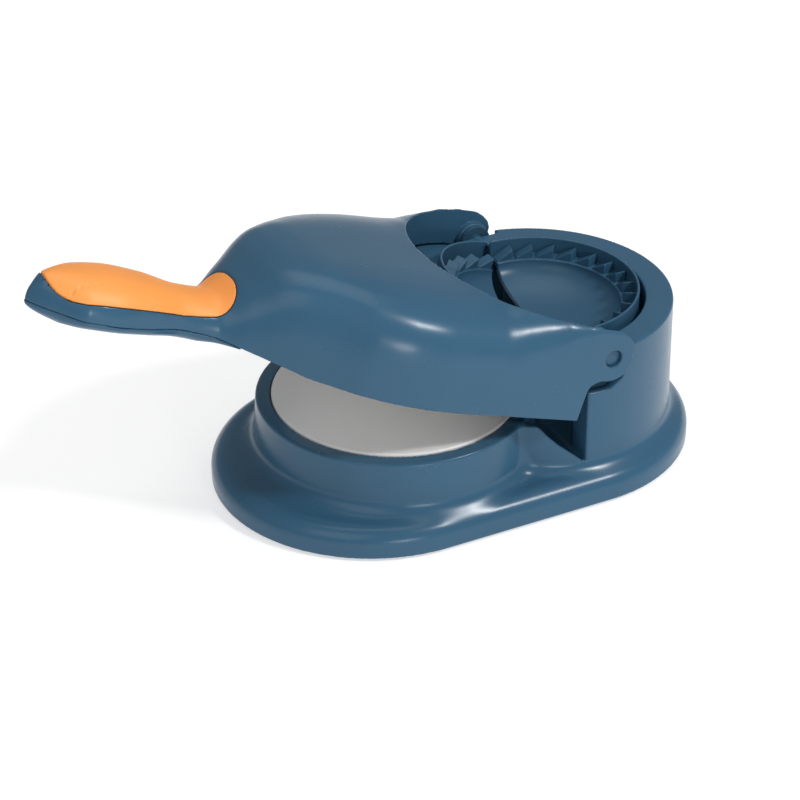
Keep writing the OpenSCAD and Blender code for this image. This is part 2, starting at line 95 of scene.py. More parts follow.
def pchip(tab):
    """Smooth curve through stations with no overshoot, as a fine table."""
    x = np.array([t[0] for t in tab], float)
    y = np.array([t[1] for t in tab], float)
    h, m = np.diff(x), np.diff(y) / np.diff(x)
    d = np.zeros(len(x))
    d[0], d[-1] = m[0], m[-1]
    for i in range(1, len(x) - 1):
        if m[i - 1] * m[i] > 0:
            w1, w2 = 2 * h[i] + h[i - 1], h[i] + 2 * h[i - 1]
            d[i] = (w1 + w2) / (w1 / m[i - 1] + w2 / m[i])
    xs = np.linspace(x[0], x[-1], 4001)
    i = np.clip(np.searchsorted(x, xs, side="right") - 1, 0, len(x) - 2)
    s = (xs - x[i]) / h[i]
    v = ((2 * s**3 - 3 * s**2 + 1) * y[i] + (s**3 - 2 * s**2 + s) * h[i] * d[i]
         + (3 * s**2 - 2 * s**3) * y[i + 1] + (s**3 - s**2) * h[i] * d[i + 1])
    return xs, v


# ------------------------------------------------------------------ mesh from a field
def gradient(f, p, e):
    g = np.empty_like(p)
    for k in range(3):
        a, b = p.copy(), p.copy()
        a[:, k] += e
        b[:, k] -= e
        g[:, k] = (f(a[:, 0], a[:, 1], a[:, 2]) - f(b[:, 0], b[:, 1], b[:, 2])) / (2 * e)
    return g


def field_mesh(f, lo, hi, h, mirror=False, soft=0.25):
    """Quads round the body where f < 0, each vertex drawn onto the surface, and its normal from the field."""
    ax = [np.arange(lo[i], hi[i] + h, h) for i in range(3)]
    if mirror:
        ax[1] = (np.arange(int(math.ceil(hi[1] / h)) + 2) + 0.5) * h
    nx, ny, nz = [len(a) for a in ax]
    d = np.empty((nx, ny, nz), np.float32)
    yy, zz = np.meshgrid(ax[1], ax[2], indexing="ij")
    yy, zz = yy.ravel(), zz.ravel()
    step = max(1, int(1.5e6 // (ny * nz)))
    for i in range(0, nx, step):
        xx = ax[0][i:i + step]
        m = len(xx)
        d[i:i + m] = f(np.repeat(xx, ny * nz), np.tile(yy, m), np.tile(zz, m)).reshape(m, ny, nz)
    if mirror:
        d = np.concatenate([d[:, ::-1], d], 1)
        ax[1] = np.concatenate([-ax[1][::-1], ax[1]])
        ny = len(ax[1])
    s = d < 0
    cells, pts, flips = [], [], []
    for a in range(3):
        lo_s, hi_s = [slice(None)] * 3, [slice(None)] * 3
        lo_s[a], hi_s[a] = slice(0, -1), slice(1, None)
        e = np.argwhere(s[tuple(lo_s)] != s[tuple(hi_s)])
        o = [q for q in range(3) if q != a]
        ok = np.ones(len(e), bool)
        for q in o:
            ok &= (e[:, q] > 0) & (e[:, q] < d.shape[q] - 1)
        e = e[ok]
        j = e.copy()
        j[:, a] += 1
        d0, d1 = d[e[:, 0], e[:, 1], e[:, 2]].astype(float), d[j[:, 0], j[:, 1], j[:, 2]].astype(float)
        p = e.astype(float)
        p[:, a] += d0 / (d0 - d1)
        ring = []
        for u, v in ((-1, -1), (0, -1), (0, 0), (-1, 0)):
            c = e.copy()
            c[:, o[0]] += u
            c[:, o[1]] += v
            ring.append((c[:, 0] * (ny - 1) + c[:, 1]) * (nz - 1) + c[:, 2])
        ring = np.stack(ring, 1)
        back = (d0 < 0) if a == 1 else (d0 > 0)
        ring[back] = ring[back][:, ::-1]
        cells.append(ring)
        pts.append(p)
    ring, p = np.concatenate(cells), np.concatenate(pts)
    ids, inv = np.unique(ring.ravel(), return_inverse=True)
    inv = inv.ravel()
    cnt = np.bincount(inv, minlength=len(ids)).astype(float)
    v = np.stack([np.bincount(inv, np.repeat(p[:, k], 4), len(ids)) / cnt for k in range(3)], 1)
    v = np.stack([ax[k][0] + h * v[:, k] for k in range(3)], 1)
    quads = inv.reshape(-1, 4)
    # a little smoothing along the surface, then onto it
    for rnd in range(2):
        if rnd == 0:
            acc, num = np.zeros_like(v), np.zeros(len(v))
            for k in range(4):
                a0, b0 = quads[:, k], quads[:, (k + 1) % 4]
                for q in range(3):
                    acc[:, q] += np.bincount(a0, v[b0, q], len(v)) + np.bincount(b0, v[a0, q], len(v))
                num += np.bincount(a0, minlength=len(v)) + np.bincount(b0, minlength=len(v))
            v = 0.5 * v + 0.5 * acc / num[:, None]
        for _ in range(3):
            g = gradient(f, v, 0.02)
            t = f(v[:, 0], v[:, 1], v[:, 2]) / np.maximum((g * g).sum(1), 0.1)
            mv = -g * t[:, None]
            ln = np.sqrt((mv * mv).sum(1))
            mv *= np.minimum(1, 0.6 * h / np.maximum(ln, 1e-9))[:, None]
            v += mv
    n = gradient(f, v, soft)
    n /= np.maximum(np.sqrt((n * n).sum(1)), 1e-9)[:, None]
    return v, quads, n


def new_object(name, v, faces, mat, normals=None, lifted=False, smooth=True):
    """v in millimetres; a lifted piece is drawn closed and turned open about the hinge."""
    v = np.array(v, float)
    if lifted:
        v = lift(v)
        if normals is not None:
            normals = turn(normals)
    me = bpy.data.meshes.new(name)
    faces = [np.asarray(f) for f in faces] if isinstance(faces, list) else faces
    if isinstance(faces, np.ndarray):
        counts = np.full(len(faces), faces.shape[1])
        flat = faces.ravel()
    else:
        counts = np.array([len(f) for f in faces])
        flat = np.concatenate(faces)
    me.vertices.add(len(v))
    me.vertices.foreach_set("co", (v / 1000.0).astype(np.float32).ravel())
    me.loops.add(len(flat))
    me.loops.foreach_set("vertex_index", flat.astype(np.int32))
    me.polygons.add(len(counts))
    me.polygons.foreach_set("loop_start", np.concatenate([[0], np.cumsum(counts)[:-1]]).astype(np.int32))
    me.polygons.foreach_set("use_smooth", np.full(len(counts), smooth))
    me.update(calc_edges=True)
    me.validate()
    if normals is not None and len(me.vertices) == len(normals):
        me.normals_split_custom_set_from_vertices(normals.astype(np.float32).tolist())
    me.materials.append(mat)
    ob = bpy.data.objects.new(name, me)
    bpy.context.scene.collection.objects.link(ob)
    return ob


def turn(n):
    c, s = math.cos(OPEN), math.sin(OPEN)
    return np.stack([n[:, 0] * c + n[:, 2] * s, n[:, 1], -n[:, 0] * s + n[:, 2] * c], 1)


def lift(v):
    return turn(v - [HX, 0, HZ]) + [HX, 0, HZ]


def lathe(profile, cx, cy, seg=240):
    """Closed body of revolution from (r, z) points that start and end on the axis."""
    a = np.arange(seg) * 2 * math.pi / seg
    v, f = [[cx, cy, profile[0][1]]], []
    for r, z in profile[1:-1]:
        v += [[cx + r * math.cos(t), cy + r * math.sin(t), z] for t in a]
    v.append([cx, cy, profile[-1][1]])
    n = len(profile) - 2
    for j in range(seg):
        k = (j + 1) % seg
        f.append([0, 1 + k, 1 + j])
        for i in range(n - 1):
            f.append([1 + i * seg + j, 1 + i * seg + k, 1 + (i + 1) * seg + k, 1 + (i + 1) * seg + j])
        f.append([1 + (n - 1) * seg + j, 1 + (n - 1) * seg + k, 1 + n * seg])
    return v, f


# ------------------------------------------------------------------ materials
def nodes_of(name):
    m = bpy.data.materials.new(name)
    m.use_nodes = True
    nt = m.node_tree
    nt.nodes.clear()
    out = nt.nodes.new("ShaderNodeOutputMaterial")
    b = nt.nodes.new("ShaderNodeBsdfPrincipled")
    nt.links.new(b.outputs[0], out.inputs[0])
    return m, nt, b


def noise(nt, coord, scale, detail=3.0, rough=0.5):
    n = nt.nodes.new("ShaderNodeTexNoise")
    n.inputs["Scale"].default_value = scale
    n.inputs["Detail"].default_value = detail
    n.inputs["Roughness"].default_value = rough
    nt.links.new(coord, n.inputs["Vector"])
    return n.outputs["Fac"]


def remap(nt, v, a, b, lo=0.3, hi=0.7):
    n = nt.nodes.new("ShaderNodeMapRange")
    for k, x in zip(("From Min", "From Max", "To Min", "To Max"), (lo, hi, a, b)):
        n.inputs[k].default_value = x
    nt.links.new(v, n.inputs["Value"])
    return n.outputs["Result"]


def math2(nt, op, a, b):
    n = nt.nodes.new("ShaderNodeMath")
    n.operation = op
    for i, x in enumerate((a, b)):
        if isinstance(x, (int, float)):
            n.inputs[i].default_value = x
        else:
            nt.links.new(x, n.inputs[i])
    return n.outputs[0]


def moulded(name, colour, rough, spread=0.05, vary=0.035, grain=0.012, coat=0.0, spec=0.5, sub=0.0):
    """Moulded plastic: clouded colour, uneven shine, a fine skin and faint rubbing marks."""
    m, nt, b = nodes_of(name)
    tc = nt.nodes.new("ShaderNodeTexCoord").outputs["Object"]
    cloud = noise(nt, tc, 22, 4, 0.55)
    speck = noise(nt, tc, 900, 2, 0.6)
    mix = nt.nodes.new("ShaderNodeMix")
    mix.data_type = "RGBA"
    f = math2(nt, "ADD", math2(nt, "MULTIPLY", cloud, 0.85), math2(nt, "MULTIPLY", speck, 0.15))
    nt.links.new(remap(nt, f, 0, 1, 0.35, 0.65), mix.inputs["Factor"])
    mix.inputs["A"].default_value = tuple(c * (1 - vary) for c in colour) + (1,)
    mix.inputs["B"].default_value = tuple(min(1, c * (1 + vary)) for c in colour) + (1,)
    nt.links.new(mix.outputs["Result"], b.inputs["Base Color"])
    # rubbing marks: noise drawn out along one direction
    mp = nt.nodes.new("ShaderNodeMapping")
    mp.inputs["Scale"].default_value = (18, 260, 90)
    mp.inputs["Rotation"].default_value = (0.2, 0.1, 0.5)
    nt.links.new(tc, mp.inputs["Vector"])
    rub = noise(nt, mp.outputs["Vector"], 1, 3, 0.7)
    patch = noise(nt, tc, 9, 3, 0.5)
    worn = math2(nt, "MULTIPLY", remap(nt, rub, 0, 1, 0.58, 0.75), remap(nt, patch, 0, 1, 0.45, 0.7))
    base = remap(nt, noise(nt, tc, 60, 3, 0.6), rough - spread, rough + spread)
    nt.links.new(math2(nt, "ADD", base, math2(nt, "MULTIPLY", worn, 0.06)), b.inputs["Roughness"])
    bump = nt.nodes.new("ShaderNodeBump")
    bump.inputs["Strength"].default_value = 0.25
    bump.inputs["Distance"].default_value = grain / 1000
    hgt = math2(nt, "ADD", noise(nt, tc, 1400, 2, 0.6), math2(nt, "MULTIPLY", rub, 0.08))
    nt.links.new(hgt, bump.inputs["Height"])
    nt.links.new(bump.outputs[0], b.inputs["Normal"])
    b.inputs["Specular IOR Level"].default_value = spec
    b.inputs["Coat Weight"].default_value = coat
    b.inputs["Coat Roughness"].default_value = 0.2
    b.inputs["Subsurface Weight"].default_value = sub
    b.inputs["Subsurface Radius"].default_value = (0.004, 0.003, 0.002)
    return m


def metal(name, colour, rough):
    m, nt, b = nodes_of(name)
    tc = nt.nodes.new("ShaderNodeTexCoord").outputs["Object"]
    mp = nt.nodes.new("ShaderNodeMapping")
    mp.inputs["Scale"].default_value = (300, 2600, 700)
    nt.links.new(tc, mp.inputs["Vector"])
    brush = noise(nt, mp.outputs["Vector"], 1, 3, 0.6)
    mix = nt.nodes.new("ShaderNodeMix")
    mix.data_type = "RGBA"
    nt.links.new(remap(nt, noise(nt, tc, 300, 3), 0, 1), mix.inputs["Factor"])
    mix.inputs["A"].default_value = tuple(c * 0.82 for c in colour) + (1,)
    mix.inputs["B"].default_value = tuple(colour) + (1,)
    nt.links.new(mix.outputs["Result"], b.inputs["Base Color"])
    b.inputs["Metallic"].default_value = 1.0
    nt.links.new(remap(nt, brush, rough - 0.08, rough + 0.1), b.inputs["Roughness"])
    bump = nt.nodes.new("ShaderNodeBump")
    bump.inputs["Strength"].default_value = 0.4
    bump.inputs["Distance"].default_value = 0.00003
    nt.links.new(brush, bump.inputs["Height"])
    nt.links.new(bump.outputs[0], b.inputs["Normal"])
    return m


BLUE = (0.034, 0.102, 0.174)
blue = moulded("blue plastic", BLUE, 0.25, spread=0.03, spec=0.27)
blue_in = moulded("blue plastic inside", tuple(c * 0.95 for c in BLUE), 0.32, spec=0.25)
orange = moulded("orange grip", (0.90, 0.33, 0.07), 0.47, vary=0.05, grain=0.03)
white = moulded("white disc", (0.79, 0.785, 0.775), 0.34, vary=0.02, sub=0.05)
dark = moulded("pad rubber", (0.03, 0.032, 0.036), 0.75, vary=0.15, grain=0.08)
washer = moulded("washer plastic", (0.018, 0.06, 0.105), 0.5, vary=0.1)
steel = metal("screw steel", (0.62, 0.63, 0.65), 0.34)

SLOT = {"blue_plastic": blue, "orange_grip": orange, "white_disc": white, "soft_pad": dark,
        "washer_plastic": washer, "screw_steel": steel}
for sp in frame["record"]["subparts"]:
    o = frame["nodes"][sp["node"]]
    o.data.materials.clear()
    o.data.materials.append(SLOT[sp["material_slot"]])


# ------------------------------------------------------------------ base housing
def rise(r):
    return 0.8 * ramp(55.65, 49.5, r) + 0.9 * np.clip((50 - r) / 20, 0, 1)


def drum_full(x, y, z):
    rd = np.hypot(x - DX, y)
    d = rd - (55.3 + 0.3 * np.clip((62.1 - z) / 28.1, 0, 1) + 0.3 * np.clip((34 - z) / 17, 0, 1))
    return rd, r_inter(d, z - 63.0, 0.9)


LOW = [(-60, -30), (-60, 33.9), (10.4, 33.9), (12.0, 32.4), (14.4, 29.0), (18.6, 24.6), (24.1, 20.0), (29.4, 15.2), (29.4, -30)]


def base_field(x, y, z):
    ro = np.hypot(np.maximum(np.abs(x) - FC, 0), y)
    u = np.maximum(ro - 55.65, 0)
    v = np.maximum(z - 5.6 - rise(ro), 0) * 1.11
    foot = np.where((u > 0) | (v > 0), np.hypot(u, v), np.maximum(ro - 55.65, (z - 5.6 - rise(ro)) * 1.11)) - 8.0
    rp = np.hypot(x - PX, y)
    pw = rp - (55.1 + 0.8 * np.clip((33.3 - z) / 14.3, 0, 1))
    plat = r_inter(pw, z - 34.5, 1.2)
    s = r_union(foot, plat, 6.4)
    # drum: full behind the front cut, a low slanting wall in front of it
    rd, drum = drum_full(x, y, z)
    region = r_union(28.9 - x, poly2(x, z, LOW), 1.3)
    shell = r_inter(drum, region, 0.6)
    void = np.minimum(rd - 44.2, np.maximum(rd - 53.2, x - 28.9))
    void = r_inter(void, 16.0 - z, 1.0)
    shell = r_cut(shell, void, 0.8)
    # recess for the arms' eyes
    ay = np.abs(y)
    near = ay > 48
    rec = np.full(x.shape, 10.0)
    if near.any():
        xn, zn = x[near], z[near]
        c = np.hypot(xn - HX, zn - HZ) - 10.3
        p = poly2(xn, zn, [(20, 47), (38.2, 46.4), (44, 49.5), (46.5, 54), (46.5, 75), (20, 75)])
        rec[near] = r_inter(r_union(c, p, 1.5), 51.0 - ay[near], 0.4)
    shell = r_cut(shell, rec, 0.5)
    # the hollow between the two walls behind the arms, open from below
    gap = np.maximum(np.maximum(46.6 - rd, rd - 53.0), np.maximum(z - 55, 51 - x))
    shell = np.maximum(shell, -gap)
    # ears for the pins
    ear = r_inter(np.hypot(x - HX, z - HZ) - 3.1, np.abs(ay - 47.75) - 3.25, 0.4)
    ear = np.maximum(ear, 44.2 - rd)
    shell = r_union(shell, ear, 0.5)
    fil = 2.6 + 2.2 * ramp(24, 16, z)
    s = r_union(s, shell, fil)
    # seat of the lower disc, and the bore for the pins
    s = r_cut(s, np.maximum(rp - 49.2, 31.0 - z), 0.35)
    s = np.maximum(s, -(np.hypot(x - HX, z - HZ) - 1.6 + 1e3 * (ay < 40) + 1e3 * (ay > 52)))
    # underside
    s = r_inter(s, 0.8 - z, 0.8)
    under = np.maximum(ro - 61.05, z - 9.0)
    under = np.minimum(under, np.maximum(rp - 52.8, z - 28.6))
    under = np.minimum(under, np.maximum(np.maximum(rd - 53.1, z - 13.5), 55.0 - rp))
    s = r_cut(s, under, 0.4)
    for px, py in ((-84, 0), (84, 0), (-40, 50), (-40, -50), (40, 50), (40, -50)):
        boss = np.maximum(np.hypot(x - px, y - py) - 3.6, np.maximum(3.2 - z, z - 12))
        s = np.minimum(s, boss)
        s = np.maximum(s, -(np.hypot(x - px, y - py) - 1.3 + 1e3 * (z > 10)))
    return s


res = 0.8
v, q, n = field_mesh(base_field, (-101.6, 0, -1.6), (101.6, 65.6, 66.4), res, mirror=True)
base = new_object("housing", v, q, blue, n)
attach(base, "base")
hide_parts("base_housing")

disc_profile = [(0, 31.05), (48.45, 31.05), (48.85, 31.5), (48.85, 34.2)]
disc_profile += [(48.0 + 0.85 * math.cos(t), 34.35 + 0.85 * math.sin(t)) for t in np.linspace(0, math.pi / 2, 9)]
disc_profile += [(r, 35.2) for r in (47.6, 40, 20)] + [(0, 35.2)]
v, f = lathe(disc_profile, PX, 0, 320)
disc = new_object("lower_disc", v, f, white)
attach(disc, "base")
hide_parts("lower_press_disc")

# ------------------------------------------------------------------ lid, drawn closed
half_w = pchip([(-178.7, 0.9), (-176, 4), (-170, 9.5), (-160, 16.6), (-148, 17.9), (-135, 16.1), (-120, 12.6), (-108, 14.6),
                (-98, 21.4), (-90, 27.3), (-82, 33), (-72, 39.8), (-60, 48.2), (-45, 54.3), (-30, 57), (-10, 57.6), (60, 57.6)])
crest = pchip([(-178.7, 44.8), (-174, 52), (-165, 54.2), (-150, 55.2), (-135, 53.9), (-120, 50.9), (-108, 50), (-98, 58.8),
               (-90, 66.4), (-82, 70.4), (-72, 72.1), (-60, 72.5), (-45, 72.8), (-30, 73), (-20, 73.1),
               (-10, 73.7), (0, 75.2), (8, 76.1), (14, 76.1), (19, 74.9), (24, 74.1), (31, 73.3), (60, 73.3)])
rim = pchip([(-178.7, 40.8), (-165, 40.8), (-145, 40.3), (-125, 39.3), (-108, 37.9), (-95, 36.3), (-85, 35), (-75, 33.7), (60, 33.7)])
square = pchip([(-178.7, 2.2), (-110, 2.2), (-95, 3.2), (-85, 4.2), (-40, 4.2), (-10, 4.1), (0, 4.7), (6, 5.3),
                (14, 7.2), (19, 11), (24, 16), (31, 30), (60, 30)])
grip_w = pchip([(-175.4, 0.6), (-173, 4.5), (-170, 7.5), (-166, 11.5), (-162, 14.2), (-157, 15.7), (-150, 16), (-143, 15.7),
                (-136, 14.9), (-128, 13), (-120, 11.6), (-113, 11.5), (-107, 12.4), (-103.5, 12.5), (-101.6, 10.6), (-100.4, 7), (-99.9, 2)])


def tab(t, x):
    return np.interp(x, t[0], t[1])


def skin(x, y, z, dw=0.0, dt=0.0, db=0.0, dp=0.0):
    """About the distance to the lid's outer skin, or to one drawn in by dw at the sides and dt at the top."""
    def level(xx):
        w, b, p = tab(half_w, xx) - dw, tab(rim, xx) + db, tab(square, xx) + dp
        h = tab(crest, xx) - dt - b
        a, c = np.abs(y) / np.maximum(w, 0.2), np.maximum(z - b, 0) / np.maximum(h, 0.2)
        big = np.maximum(np.maximum(a, c), 1e-6)
        return big * ((a / big) ** p + (c / big) ** p) ** (1 / p), a, c, p, w, h
    nv, a, c, p, w, h = level(x)
    nx = (level(x + 0.3)[0] - level(x - 0.3)[0]) / 0.6
    gy = (a / np.maximum(nv, 1e-6)) ** (p - 1) / np.maximum(w, 0.2)
    gz = (c / np.maximum(nv, 1e-6)) ** (p - 1) / np.maximum(h, 0.2)
    return (nv - 1) / np.maximum(np.sqrt(nx * nx + gy * gy + gz * gz), 1e-3)


def tip(x):
    return -178.7 - x


ARM = [(0, 20), (31.2, 20), (31.2, 46.4), (32, 48.6), (33.8, 50), (36.4, 51.3), (44.3, 54.2), (46.2, 66), (44.6, 68.6),
       (41.6, 70.6), (38, 72), (33, 73.2), (20, 85), (0, 85)]
POSTS = [(-60, 20), (-60, -20), (-24, 30), (-24, -30)]


def top_at(x, y):
    w, b, p = tab(half_w, x), tab(rim, x), tab(square, x)
    return b + (tab(crest, x) - b) * np.maximum(0, 1 - np.minimum(1, np.abs(y) / w) ** p) ** (1 / p)


def grip_edge(x, y, z):
    """Distance along the skin to the grip's outline, measured round the handle's section."""
    w, b = tab(half_w, x), tab(rim, x)
    h = tab(crest, x) - b
    a, c = np.abs(y) / np.maximum(w, 0.3), (z - b) / np.maximum(h, 0.3)
    t = np.arctan2(a, c)
    arc = np.hypot(w * np.cos(t), h * np.sin(t)) * np.clip(np.hypot(a, c), 0.3, 1.6)
    wide = np.interp(x, (-176, -166, -157, -145, -132, -121, -116, -111, -106, -99),
                     (1.13, 1.125, 1.085, 1.08, 1.095, 1.11, 1.06, 0.99, 0.955, 0.95))
    ur, ul = np.maximum(x + 115.5, 0) / 15.5, np.maximum(-163.4 - x, 0) / 11.2
    u, du = ur + ul, np.where(ur > 0, 1 / 15.5, 1 / 11.2)
    k = np.maximum(np.sqrt((t / wide) ** 2 + u ** 3.5), 1e-4)
    return (k - 1) / np.maximum(np.hypot(t / (wide ** 2 * k * np.maximum(arc, 0.5)), 1.75 * u ** 2.5 * du / k), 1e-3)


def lid_field(x, y, z):
    ay = np.abs(y)
    outer = skin(x, ay, z)
    s = r_inter(outer, tab(rim, x) - z, 0.45)
    s = r_inter(s, tip(x), 0.8)
    dw = 1.5 + 0.7 * (1 - ramp(-104, -88, x))
    dt = 2.3 + 2.3 * (1 - ramp(-98, -88, x))
    inner = skin(x, ay, np.maximum(z, tab(rim, x) + 2.0), dw, dt, 2.0, 0.1)
    inner = np.maximum(inner, -172 - x)
    rm = np.hypot(x - MX, y)
    flange = np.maximum(np.maximum(rm - MR - 1.5, 57.2 - z), x - 31)
    hollow = r_cut(inner, flange, 0.5)
    mouth = np.minimum(rm - MR, np.maximum(ay - 56.0, 31 - x))
    mouth = np.maximum(mouth, 50 - z)
    s = r_cut(s, np.minimum(hollow, mouth), 0.4)
    right = x > 15
    if right.any():
        xr, zr = x[right], z[right]
        a = r_union(poly2(xr, zr, ARM), np.hypot(xr - 37.7, zr - 60.5) - 9.3, 1.0)
        s[right] = r_inter(s[right], a, 0.4)
        boss = r_inter(np.hypot(xr - HX, zr - HZ) - 7.0, np.abs(ay[right] - 55.0) - 1.6, 0.35)
        s[right] = np.minimum(s[right], boss)
        s[right] = r_cut(s[right], np.maximum(np.hypot(xr - HX, zr - HZ) - PIN - 0.07, 50 - ay[right]), 0.3)
    for px, py in POSTS[::2]:
        post = np.maximum(np.hypot(x - px, ay - py) - 4, 66.2 - z)
        s = np.minimum(s, np.maximum(np.maximum(post, inner - 0.5), -178 - x))
    # pocket for the grip
    left = x < -97
    if left.any():
        pocket = np.maximum(grip_edge(x[left], y[left], z[left]) - 0.22, -(outer[left] + 2.2))
        s[left] = r_cut(s[left], pocket, 0.2)
    return s


res = 0.62
v, q, n = field_mesh(lid_field, (-180.5, 0, 31), (49, 59.5, 84), res, mirror=True)
lid = new_object("lid", v, q, blue, n, lifted=True)
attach(lid, "lid")
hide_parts("lid_shell")


RINGS = [(-166.2, -9.8), (-163.7, -9.9), (-161.0, -9.8), (-158.2, -9.5), (-155.2, -9.1)]


def grip_field(x, y, z):
    outer = skin(x, y, z) + 0.05
    s = r_inter(outer, grip_edge(x, y, z), 0.5)
    s = np.maximum(s, -(outer + 2.0))
    for k, (cx, cy) in enumerate(RINGS):   # row of small dimples, fading towards the palm
        r = np.hypot(x - cx, y - cy)
        s = s + 0.34 * (1 - 0.18 * k) * np.exp(-(r / (0.85 - 0.05 * k)) ** 4) * (z > 44)
    return s


res = 0.36
v, q, n = field_mesh(grip_field, (-176.5, -17, 38), (-98.5, 17, 60), res, soft=0.12)
grip = new_object("grip", v, q, orange, n, lifted=True)
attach(grip, "lid")
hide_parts("handle_grip")

# ------------------------------------------------------------------ cover under the handle
def cover_field(x, y, z):
    w, b = tab(half_w, x), tab(rim, x) - 0.08
    d = 6 * np.sqrt(np.clip((x + 179) / 12, 0.02, 1)) * np.sqrt(np.clip((-98 - x) / 14, 0.03, 1))
    k0 = np.hypot(y / np.maximum(w, 0.3), (b - z) / np.maximum(d, 0.3))
    k1 = np.hypot(y / np.maximum(w, 0.3) ** 2, (b - z) / np.maximum(d, 0.3) ** 2)
    s = r_inter(k0 * (k0 - 1) / np.maximum(k1, 1e-4), z - b, 0.3)
    s = r_inter(s, np.maximum(-178.5 - x, x + 99), 0.3)
    for cx in (-158, -136, -112):
        r = np.hypot(x - cx, y)
        s = np.maximum(s, 1.6 - r)
        s = r_cut(s, np.maximum(r - 2.9, z - np.interp(cx, rim[0], rim[1]) + 3), 0.2)
    return s


def make(name, f, lo, hi, h, mat, body, node, lifted=False, mirror=False, soft=0.2):
    v, q, n = field_mesh(f, lo, hi, h * (1), mirror=mirror, soft=soft)
    o = new_object(name, v, q, mat, n, lifted=lifted)
    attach(o, body)
    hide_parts(node)
    return o


make("handle_cover", cover_field, (-180, 0, 31), (-97.5, 19, 42), 0.55, blue, "lid", "handle_bottom_cover",
     lifted=True, mirror=True)


# ------------------------------------------------------------------ mould halves
def bowl_side(r, z, a, b, z0):
    dz = np.minimum(z - z0, 0)
    k0 = np.maximum(np.hypot(r / a, dz / b), 1e-4)
    return k0 * (k0 - 1) / np.hypot(r / a ** 2, dz / b ** 2 + 1e-6)


def mould(x, y, z, side):
    x, z = x - HX, z - HZ
    r = np.hypot(x, y)
    top = -1.7 if side > 0 else -4.5
    outer = np.minimum(bowl_side(r, z, 34.8, 12.0, top - 1.8), np.maximum(r - 38.8, top - 2.4 - z))
    if side > 0:
        outer = np.minimum(outer, np.maximum(np.abs(r - 37.6) - 0.7, np.maximum(top - 6 - z, z - top)))
        rr = np.hypot(x + HX - RX, y)
        ring = r_inter(np.abs(rr - 40.125) - 0.475, z - 5.2, 0.3)
        ring = np.maximum(ring, top - 2.4 - z)
        base = np.maximum(np.maximum(rr - 40.0, 38.3 - r), np.maximum(top - 2.4 - z, z - top))
    else:
        rr = np.hypot(x + HX - LX, y)
        ring = r_inter(np.abs(rr - 43.15) - 0.55, z - 3.8, 0.35)
        ring = np.maximum(ring, -8 - z)
        base = np.maximum(np.maximum(rr - 43.2, 38.2 - r), np.maximum(-8 - z, z + 6))
    s = r_inter(outer, -bowl_side(r, z, 33.0, 12.0, top), 0.35)
    s = r_inter(s, z - top, 0.25)
    # wedge teeth, thirteen to the half circle
    pitch = 180.0 / 13
    phi = np.radians(np.mod(np.degrees(np.arctan2(y, x)) - 90.0, pitch) - pitch / 2)
    xt, yt = r * np.cos(phi), r * np.sin(phi)
    t = math.tan(math.radians(pitch * 0.41))
    slope = 4.8 / (2 * (38.8 * t + 0.1))
    crown = (z - (top + 2.6 - slope * yt)) / math.hypot(1, slope)
    wedge = r_inter(np.abs(yt) - xt * t, crown, 0.22)
    wedge = r_inter(wedge, np.maximum(33.8 - xt, xt - 38.8), 0.22)
    wedge = np.maximum(wedge, top - 0.5 - z)
    s = np.minimum(r_union(s, wedge, 0.25), np.minimum(ring, base))
    if side < 0:
        for sy in (-1, 1):
            px, py = -36.2 * math.cos(math.radians(38)), sy * 36.2 * math.sin(math.radians(38))
            rb = np.hypot(x - px, y - py)
            s = np.minimum(s, np.maximum(rb - 2.5, np.maximum(51.3 - HZ - z, z - 55.0 + HZ)))
            s = np.maximum(s, -np.maximum(rb - 1.05, z - 55.3 + HZ))
    return r_inter(s, 0.35 - x if side > 0 else x + 0.35, 0.2)


make("fixed_half", lambda x, y, z: mould(x, y, z, 1), (37.6, -43, 41), (80.5, 43, 67.6), 0.45, blue_in, "base",
     "right_mould_half", soft=0.16)
make("swinging_half", lambda x, y, z: mould(x, y, z, -1), (-5, -45, 39.6), (39, 45, 66), 0.45, blue_in, "lid",
     "left_mould_half", lifted=True, soft=0.16)


def tray_field(x, y, z):
    ay = np.abs(y)
    rl, rh = np.hypot(x - LX, y), np.hypot(x - HX, y)
    plan = np.hypot(x - MX, y) - (MR - 0.35)
    for py in (0, 16):
        plan = np.minimum(plan, np.where(x < -26.5, np.hypot(x + 26.5, ay - py), np.abs(ay - py)) - 4 + 99 * (x > -18))
    o = r_union(np.maximum(plan, 55.4 - z), np.maximum(rl - 45.4, 49.6 - z), 0.8)
    s = r_inter(o, z - 57.0, 0.3)
    s = r_cut(s, rl - 44.0, 0.3)
    px, py = HX - 36.2 * math.cos(math.radians(38)), 36.2 * math.sin(math.radians(38))
    ux, uy = (px - HX) / 36.2, py / 36.2
    lx, ly = (x - px) * ux + (ay - py) * uy, -(x - px) * uy + (ay - py) * ux
    tab_ = np.minimum(np.hypot(lx, ly) - 3.4, np.maximum(np.abs(ly) - 3.4, -lx))
    tab_ = np.maximum(np.maximum(tab_, rl - 44.6), 33.6 - rh)
    s = np.minimum(s, np.maximum(tab_, np.abs(z - 50.4) - 0.8))
    s = np.maximum(s, 1.3 - np.hypot(lx, ly))
    for py in (0, 16):
        s = np.maximum(s, 1.3 - np.hypot(x + 26.5, ay - py))
    return r_inter(s, x - 27.0, 0.3)


make("mould_tray", tray_field, (-32.5, 0, 48.4), (28.2, 56.5, 58.2), 0.5, blue_in, "lid", "mould_scoop",
     lifted=True, mirror=True)


# ------------------------------------------------------------------ pins and upper plate
def arc(cx, cz, r, a0, a1, n=5):
    return [(cx + r * math.cos(t), cz + r * math.sin(t)) for t in np.radians(np.linspace(a0, a1, n))]


